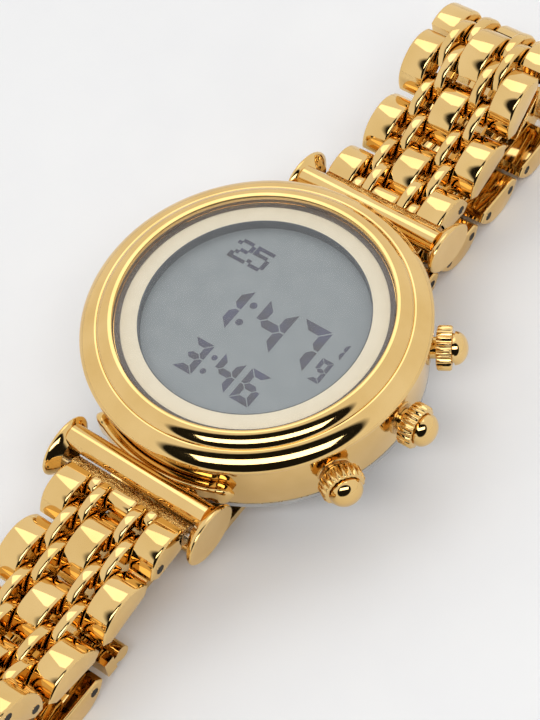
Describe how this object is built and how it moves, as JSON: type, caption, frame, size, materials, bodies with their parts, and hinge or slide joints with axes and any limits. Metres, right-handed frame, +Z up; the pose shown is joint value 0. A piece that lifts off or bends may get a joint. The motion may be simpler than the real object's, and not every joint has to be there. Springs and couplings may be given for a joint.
{
  "type": "wristwatch",
  "caption": "Round digital wristwatch with side pushers, T bars and a seven column link bracelet, lying with the bracelet folded flat.",
  "frame": {"origin": "middle of the case back's outer face, under the centre of the dial", "axes": "+Z up through the dial, +Y towards twelve o'clock and along the bracelet, +X towards three o'clock and the pushers"},
  "size_m": [0.0416, 0.1148, 0.0177],
  "materials": {
    "gold": "polished gold plate",
    "glass": "clear",
    "champagne": "satin",
    "display": "matte film",
    "plastic": "matte",
    "board": "matte",
    "steel": "brushed",
    "rubber": "matte"
  },
  "bodies": {
    "case": {"case_body": "gold", "bezel": "gold", "crystal": "glass", "dial_ring": "champagne", "lcd_panel": "display", "module_frame": "plastic", "circuit_board": "board", "battery": "steel", "case_back": "steel", "back_gasket": "rubber", "pusher_tubes": "gold", "tbar_12": "gold", "tbar_6": "gold", "spring_bar_12": "steel", "spring_bar_6": "steel"},
    "end_link_12": {"end_link_12": "gold"},
    "half_row_12_1": {"half_row_12_1": "gold"},
    "row_12_1": {"row_12_1": "gold"},
    "half_row_12_2": {"half_row_12_2": "gold"},
    "row_12_2": {"row_12_2": "gold"},
    "half_row_12_3": {"half_row_12_3": "gold"},
    "row_12_3": {"row_12_3": "gold"},
    "half_row_12_4": {"half_row_12_4": "gold"},
    "row_12_4": {"row_12_4": "gold"},
    "half_row_12_5": {"half_row_12_5": "gold"},
    "row_12_5": {"row_12_5": "gold"},
    "half_row_12_6": {"half_row_12_6": "gold"},
    "row_12_6": {"row_12_6": "gold"},
    "half_row_12_7": {"half_row_12_7": "gold"},
    "row_12_7": {"row_12_7": "gold"},
    "half_row_12_8": {"half_row_12_8": "gold"},
    "row_12_8": {"row_12_8": "gold"},
    "clasp_end_12": {"clasp_end_12": "gold"},
    "clasp_blade_12": {"clasp_blade_12": "gold"},
    "end_link_6": {"end_link_6": "gold"},
    "half_row_6_1": {"half_row_6_1": "gold"},
    "row_6_1": {"row_6_1": "gold"},
    "half_row_6_2": {"half_row_6_2": "gold"},
    "row_6_2": {"row_6_2": "gold"},
    "half_row_6_3": {"half_row_6_3": "gold"},
    "row_6_3": {"row_6_3": "gold"},
    "half_row_6_4": {"half_row_6_4": "gold"},
    "row_6_4": {"row_6_4": "gold"},
    "half_row_6_5": {"half_row_6_5": "gold"},
    "row_6_5": {"row_6_5": "gold"},
    "half_row_6_6": {"half_row_6_6": "gold"},
    "row_6_6": {"row_6_6": "gold"},
    "half_row_6_7": {"half_row_6_7": "gold"},
    "row_6_7": {"row_6_7": "gold"},
    "half_row_6_8": {"half_row_6_8": "gold"},
    "row_6_8": {"row_6_8": "gold"},
    "clasp_end_6": {"clasp_end_6": "gold"},
    "clasp_blade_6": {"clasp_blade_6": "gold"},
    "clasp_plate": {"clasp_plate": "gold"},
    "pusher_upper": {"pusher_upper": "gold"},
    "pusher_middle": {"pusher_middle": "gold"},
    "pusher_lower": {"pusher_lower": "gold"}
  },
  "joints": [
    {"name": "end_link_12_hinge", "type": "hinge", "parent": "case", "child": "end_link_12", "pos_m": [0, 0.0229, 0.0039], "axis": [-1, 0, 0], "range_deg": [0, 10]},
    {"name": "half_row_12_1_hinge", "type": "hinge", "parent": "end_link_12", "child": "half_row_12_1", "pos_m": [0, 0.02739, 0.00359], "axis": [-1, 0, 0], "range_deg": [0, 15.74]},
    {"name": "row_12_1_hinge", "type": "hinge", "parent": "half_row_12_1", "child": "row_12_1", "pos_m": [0, 0.03093, 0.00377], "axis": [-1, 0, 0], "range_deg": [0, 22.74]},
    {"name": "half_row_12_2_hinge", "type": "hinge", "parent": "row_12_1", "child": "half_row_12_2", "pos_m": [0, 0.03533, 0.00512], "axis": [-1, 0, 0], "range_deg": [0, 18.74]},
    {"name": "row_12_2_hinge", "type": "hinge", "parent": "half_row_12_2", "child": "row_12_2", "pos_m": [0, 0.0385, 0.00673], "axis": [-1, 0, 0], "range_deg": [0, 16.74]},
    {"name": "half_row_12_3_hinge", "type": "hinge", "parent": "row_12_2", "child": "half_row_12_3", "pos_m": [0, 0.04226, 0.00937], "axis": [-1, 0, 0], "range_deg": [-26.27, 0]},
    {"name": "row_12_3_hinge", "type": "hinge", "parent": "half_row_12_3", "child": "row_12_3", "pos_m": [0, 0.04581, 0.00937], "axis": [-1, 0, 0], "range_deg": [-29.27, 0]},
    {"name": "half_row_12_4_hinge", "type": "hinge", "parent": "row_12_3", "child": "half_row_12_4", "pos_m": [0, 0.04944, 0.00653], "axis": [-1, 0, 0], "range_deg": [-29.27, 0]},
    {"name": "row_12_4_hinge", "type": "hinge", "parent": "half_row_12_4", "child": "row_12_4", "pos_m": [0, 0.0503, 0.00309], "axis": [-1, 0, 0], "range_deg": [-29.27, 0]},
    {"name": "half_row_12_5_hinge", "type": "hinge", "parent": "row_12_4", "child": "half_row_12_5", "pos_m": [0, 0.04843, -0.00111], "axis": [-1, 0, 0], "range_deg": [-23.41, 0]},
    {"name": "row_12_5_hinge", "type": "hinge", "parent": "half_row_12_5", "child": "row_12_5", "pos_m": [0, 0.04548, -0.00309], "axis": [-1, 0, 0], "range_deg": [-23.12, 0]},
    {"name": "half_row_12_6_hinge", "type": "hinge", "parent": "row_12_5", "child": "half_row_12_6", "pos_m": [0, 0.04088, -0.00325], "axis": [-1, 0, 0], "range_deg": [0, 6.74]},
    {"name": "row_12_6_hinge", "type": "hinge", "parent": "half_row_12_6", "child": "row_12_6", "pos_m": [0, 0.03733, -0.00325], "axis": [-1, 0, 0], "range_deg": [0, 8.74]},
    {"name": "half_row_12_7_hinge", "type": "hinge", "parent": "row_12_6", "child": "half_row_12_7", "pos_m": [0, 0.03273, -0.00325], "axis": [-1, 0, 0], "range_deg": [0, 8.74]},
    {"name": "row_12_7_hinge", "type": "hinge", "parent": "half_row_12_7", "child": "row_12_7", "pos_m": [0, 0.02918, -0.00325], "axis": [-1, 0, 0], "range_deg": [0, 8.74]},
    {"name": "half_row_12_8_hinge", "type": "hinge", "parent": "row_12_7", "child": "half_row_12_8", "pos_m": [0, 0.02458, -0.00325], "axis": [-1, 0, 0], "range_deg": [0, 8.74]},
    {"name": "row_12_8_hinge", "type": "hinge", "parent": "half_row_12_8", "child": "row_12_8", "pos_m": [0, 0.02103, -0.00325], "axis": [-1, 0, 0], "range_deg": [0, 8.74]},
    {"name": "clasp_end_12_hinge", "type": "hinge", "parent": "row_12_8", "child": "clasp_end_12", "pos_m": [0, 0.01643, -0.00325], "axis": [-1, 0, 0], "range_deg": [0, 8.74]},
    {"name": "clasp_blade_12_hinge", "type": "hinge", "parent": "clasp_end_12", "child": "clasp_blade_12", "pos_m": [0, 0.01143, -0.00325], "axis": [-1, 0, 0], "range_deg": [0, 8.74]},
    {"name": "bracelet_fold", "type": "hinge", "parent": "case", "child": "end_link_6", "pos_m": [0, -0.0229, 0.0039], "axis": [1, 0, 0], "range_deg": [0, 10]},
    {"name": "half_row_6_1_hinge", "type": "hinge", "parent": "end_link_6", "child": "half_row_6_1", "pos_m": [0, -0.02739, 0.00359], "axis": [1, 0, 0], "range_deg": [0, 8.74]},
    {"name": "row_6_1_hinge", "type": "hinge", "parent": "half_row_6_1", "child": "row_6_1", "pos_m": [0, -0.03093, 0.00334], "axis": [1, 0, 0], "range_deg": [0, 2.74]},
    {"name": "half_row_6_2_hinge", "type": "hinge", "parent": "row_6_1", "child": "half_row_6_2", "pos_m": [0, -0.03546, 0.00254], "axis": [1, 0, 0], "range_deg": [0, 17.74]},
    {"name": "row_6_2_hinge", "type": "hinge", "parent": "half_row_6_2", "child": "row_6_2", "pos_m": [0, -0.03901, 0.00248], "axis": [1, 0, 0], "range_deg": [0, 17.74]},
    {"name": "half_row_6_3_hinge", "type": "hinge", "parent": "row_6_2", "child": "half_row_6_3", "pos_m": [0, -0.04357, 0.00312], "axis": [1, 0, 0], "range_deg": [0, 30.74]},
    {"name": "row_6_3_hinge", "type": "hinge", "parent": "half_row_6_3", "child": "row_6_3", "pos_m": [0, -0.04664, 0.00489], "axis": [1, 0, 0], "range_deg": [0, 28.74]},
    {"name": "half_row_6_4_hinge", "type": "hinge", "parent": "row_6_3", "child": "half_row_6_4", "pos_m": [0, -0.0496, 0.00842], "axis": [1, 0, 0], "range_deg": [-9.27, 0]},
    {"name": "row_6_4_hinge", "type": "hinge", "parent": "half_row_6_4", "child": "row_6_4", "pos_m": [0, -0.05261, 0.0103], "axis": [1, 0, 0], "range_deg": [-29.27, 0]},
    {"name": "half_row_6_5_hinge", "type": "hinge", "parent": "row_6_4", "child": "half_row_6_5", "pos_m": [0, -0.05718, 0.00982], "axis": [1, 0, 0], "range_deg": [-26.27, 0]},
    {"name": "row_6_5_hinge", "type": "hinge", "parent": "half_row_6_5", "child": "row_6_5", "pos_m": [0, -0.05986, 0.00749], "axis": [1, 0, 0], "range_deg": [-26.27, 0]},
    {"name": "half_row_6_6_hinge", "type": "hinge", "parent": "row_6_5", "child": "half_row_6_6", "pos_m": [0, -0.06097, 0.00302], "axis": [1, 0, 0], "range_deg": [-23.08, 0]},
    {"name": "row_6_6_hinge", "type": "hinge", "parent": "half_row_6_6", "child": "row_6_6", "pos_m": [0, -0.05989, -0.00036], "axis": [1, 0, 0], "range_deg": [-24.45, 0]},
    {"name": "half_row_6_7_hinge", "type": "hinge", "parent": "row_6_6", "child": "half_row_6_7", "pos_m": [0, -0.05631, -0.00325], "axis": [1, 0, 0], "range_deg": [-30.27, 0]},
    {"name": "row_6_7_hinge", "type": "hinge", "parent": "half_row_6_7", "child": "row_6_7", "pos_m": [0, -0.05276, -0.00325], "axis": [1, 0, 0], "range_deg": [0, 8.74]},
    {"name": "half_row_6_8_hinge", "type": "hinge", "parent": "row_6_7", "child": "half_row_6_8", "pos_m": [0, -0.04816, -0.00325], "axis": [1, 0, 0], "range_deg": [0, 8.74]},
    {"name": "row_6_8_hinge", "type": "hinge", "parent": "half_row_6_8", "child": "row_6_8", "pos_m": [0, -0.04461, -0.00325], "axis": [1, 0, 0], "range_deg": [0, 8.74]},
    {"name": "clasp_end_6_hinge", "type": "hinge", "parent": "row_6_8", "child": "clasp_end_6", "pos_m": [0, -0.04001, -0.00325], "axis": [1, 0, 0], "range_deg": [0, 8.74]},
    {"name": "clasp_blade_6_hinge", "type": "hinge", "parent": "clasp_end_6", "child": "clasp_blade_6", "pos_m": [0, -0.03501, -0.00325], "axis": [1, 0, 0], "range_deg": [0, 8.74]},
    {"name": "clasp_plate_hinge", "type": "hinge", "parent": "clasp_blade_6", "child": "clasp_plate", "pos_m": [0, -0.02101, -0.00325], "axis": [1, 0, 0], "range_deg": [0, 8.74]},
    {"name": "pusher_upper_press", "type": "slide", "parent": "case", "child": "pusher_upper", "axis": [-0.8572, -0.515, 0], "range_m": [0, 0.0007], "stiffness_N_per_m": 400},
    {"name": "pusher_middle_press", "type": "slide", "parent": "case", "child": "pusher_middle", "axis": [-0.9997, -0.0262, 0], "range_m": [0, 0.0007], "stiffness_N_per_m": 400},
    {"name": "pusher_lower_press", "type": "slide", "parent": "case", "child": "pusher_lower", "axis": [-0.8829, 0.4695, 0], "range_m": [0, 0.0007], "stiffness_N_per_m": 400}
  ],
  "couplings": [
    {"joint": "end_link_12_hinge", "follows": "bracelet_fold", "ratio": 1},
    {"joint": "half_row_12_1_hinge", "follows": "bracelet_fold", "ratio": 1.5737},
    {"joint": "row_12_1_hinge", "follows": "bracelet_fold", "ratio": 2.2737},
    {"joint": "half_row_12_2_hinge", "follows": "bracelet_fold", "ratio": 1.8737},
    {"joint": "row_12_2_hinge", "follows": "bracelet_fold", "ratio": 1.6737},
    {"joint": "half_row_12_3_hinge", "follows": "bracelet_fold", "ratio": -2.6263},
    {"joint": "row_12_3_hinge", "follows": "bracelet_fold", "ratio": -2.9263},
    {"joint": "half_row_12_4_hinge", "follows": "bracelet_fold", "ratio": -2.9263},
    {"joint": "row_12_4_hinge", "follows": "bracelet_fold", "ratio": -2.9263},
    {"joint": "half_row_12_5_hinge", "follows": "bracelet_fold", "ratio": -2.3412},
    {"joint": "row_12_5_hinge", "follows": "bracelet_fold", "ratio": -2.3114},
    {"joint": "half_row_12_6_hinge", "follows": "bracelet_fold", "ratio": 0.67368},
    {"joint": "row_12_6_hinge", "follows": "bracelet_fold", "ratio": 0.87368},
    {"joint": "half_row_12_7_hinge", "follows": "bracelet_fold", "ratio": 0.87368},
    {"joint": "row_12_7_hinge", "follows": "bracelet_fold", "ratio": 0.87368},
    {"joint": "half_row_12_8_hinge", "follows": "bracelet_fold", "ratio": 0.87368},
    {"joint": "row_12_8_hinge", "follows": "bracelet_fold", "ratio": 0.87368},
    {"joint": "clasp_end_12_hinge", "follows": "bracelet_fold", "ratio": 0.87368},
    {"joint": "clasp_blade_12_hinge", "follows": "bracelet_fold", "ratio": 0.87368},
    {"joint": "half_row_6_1_hinge", "follows": "bracelet_fold", "ratio": 0.87368},
    {"joint": "row_6_1_hinge", "follows": "bracelet_fold", "ratio": 0.27368},
    {"joint": "half_row_6_2_hinge", "follows": "bracelet_fold", "ratio": 1.7737},
    {"joint": "row_6_2_hinge", "follows": "bracelet_fold", "ratio": 1.7737},
    {"joint": "half_row_6_3_hinge", "follows": "bracelet_fold", "ratio": 3.0737},
    {"joint": "row_6_3_hinge", "follows": "bracelet_fold", "ratio": 2.8737},
    {"joint": "half_row_6_4_hinge", "follows": "bracelet_fold", "ratio": -0.92632},
    {"joint": "row_6_4_hinge", "follows": "bracelet_fold", "ratio": -2.9263},
    {"joint": "half_row_6_5_hinge", "follows": "bracelet_fold", "ratio": -2.6263},
    {"joint": "row_6_5_hinge", "follows": "bracelet_fold", "ratio": -2.6263},
    {"joint": "half_row_6_6_hinge", "follows": "bracelet_fold", "ratio": -2.3074},
    {"joint": "row_6_6_hinge", "follows": "bracelet_fold", "ratio": -2.4453},
    {"joint": "half_row_6_7_hinge", "follows": "bracelet_fold", "ratio": -3.0263},
    {"joint": "row_6_7_hinge", "follows": "bracelet_fold", "ratio": 0.87368},
    {"joint": "half_row_6_8_hinge", "follows": "bracelet_fold", "ratio": 0.87368},
    {"joint": "row_6_8_hinge", "follows": "bracelet_fold", "ratio": 0.87368},
    {"joint": "clasp_end_6_hinge", "follows": "bracelet_fold", "ratio": 0.87368},
    {"joint": "clasp_blade_6_hinge", "follows": "bracelet_fold", "ratio": 0.87368},
    {"joint": "clasp_plate_hinge", "follows": "bracelet_fold", "ratio": 0.87368}
  ]
}
